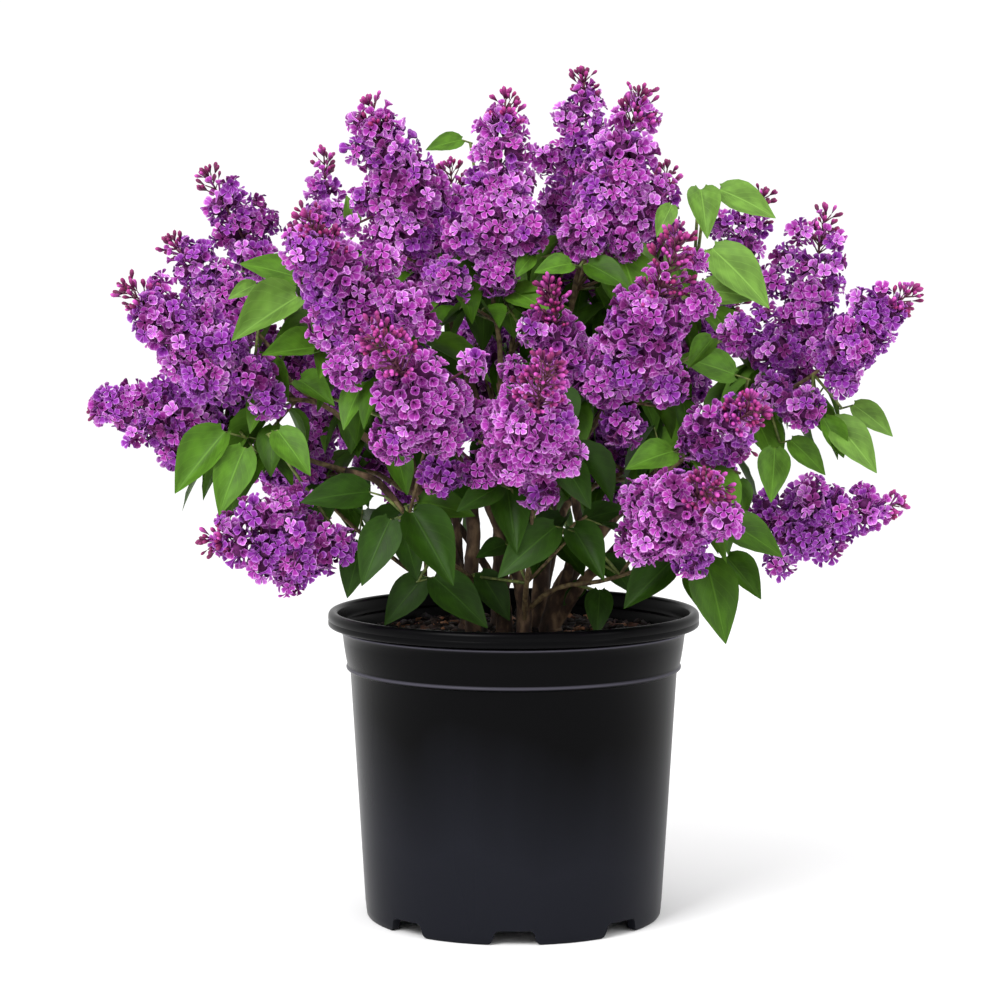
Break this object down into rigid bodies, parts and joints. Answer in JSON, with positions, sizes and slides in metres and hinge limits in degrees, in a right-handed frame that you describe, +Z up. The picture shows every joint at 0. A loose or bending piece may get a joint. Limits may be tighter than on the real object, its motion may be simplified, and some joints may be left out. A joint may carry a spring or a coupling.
{
  "type": "lilac bush in a nursery pot",
  "caption": "Leafy multi-stemmed lilac bush with upright panicles of purple blossom on all sides, growing from potting mix in a round black nursery pot that stands on its flat underside.",
  "frame": {"origin": "middle of the pot's flat underside, on the surface that it stands on", "axes": "+Z up along the pot's axis, -Y towards the front of the bush as pictured, +X to the viewer's right"},
  "size_m": [0.6138, 0.4927, 0.64],
  "materials": {
    "pot": "satin black blow-moulded plastic with a soft vertical sheen",
    "potting_mix": "rough dark bark compost with reddish chips",
    "bark": "rough grey-brown bark with fine furrows and raised pores",
    "foliage": "smooth heart-shaped leaves with pale veins, and soft purple blossom",
    "blossom": "soft petals, purple with paler rims",
    "bud": "smooth closed buds, magenta"
  },
  "bodies": {
    "root": {"bough_back": "bark", "bough_back_left": "bark", "bough_back_low": "bark", "bough_back_low_left": "bark", "bough_back_low_right": "bark", "bough_back_right": "bark", "bough_back_right_top": "bark", "bough_centre": "bark", "bough_far_left": "bark", "bough_front_left": "bark", "bough_front_left_high": "bark", "bough_front_right": "bark", "bough_left_top": "bark", "bough_low_left": "bark", "bough_low_right": "bark", "bough_right": "bark", "bough_right_front": "bark", "foliage_back": "foliage", "foliage_back_left": "foliage", "foliage_back_low": "foliage", "foliage_back_low_left": "foliage", "foliage_back_low_right": "foliage", "foliage_back_right": "foliage", "foliage_back_right_top": "foliage", "foliage_back_top": "foliage", "foliage_centre": "foliage", "foliage_far_left": "foliage", "foliage_front": "foliage", "foliage_front_left": "foliage", "foliage_front_left_high": "foliage", "foliage_front_right": "foliage", "foliage_left": "foliage", "foliage_left_top": "foliage", "foliage_low_left": "foliage", "foliage_low_right": "foliage", "foliage_right": "foliage", "foliage_right_front": "foliage", "foliage_right_high": "foliage", "foliage_skirt_back": "foliage", "foliage_skirt_front": "foliage", "foliage_skirt_front_left": "foliage", "foliage_skirt_front_right": "foliage", "foliage_skirt_left": "foliage", "foliage_skirt_right": "foliage", "foliage_top_centre": "foliage", "foliage_top_left": "foliage", "foliage_top_right": "foliage", "pot": "pot", "potting_mix": "potting_mix", "stem_back": "bark", "stem_back_left": "bark", "stem_centre": "bark", "stem_far_left": "bark", "stem_front": "bark", "stem_left": "bark", "stem_right": "bark"}
  },
  "joints": []
}
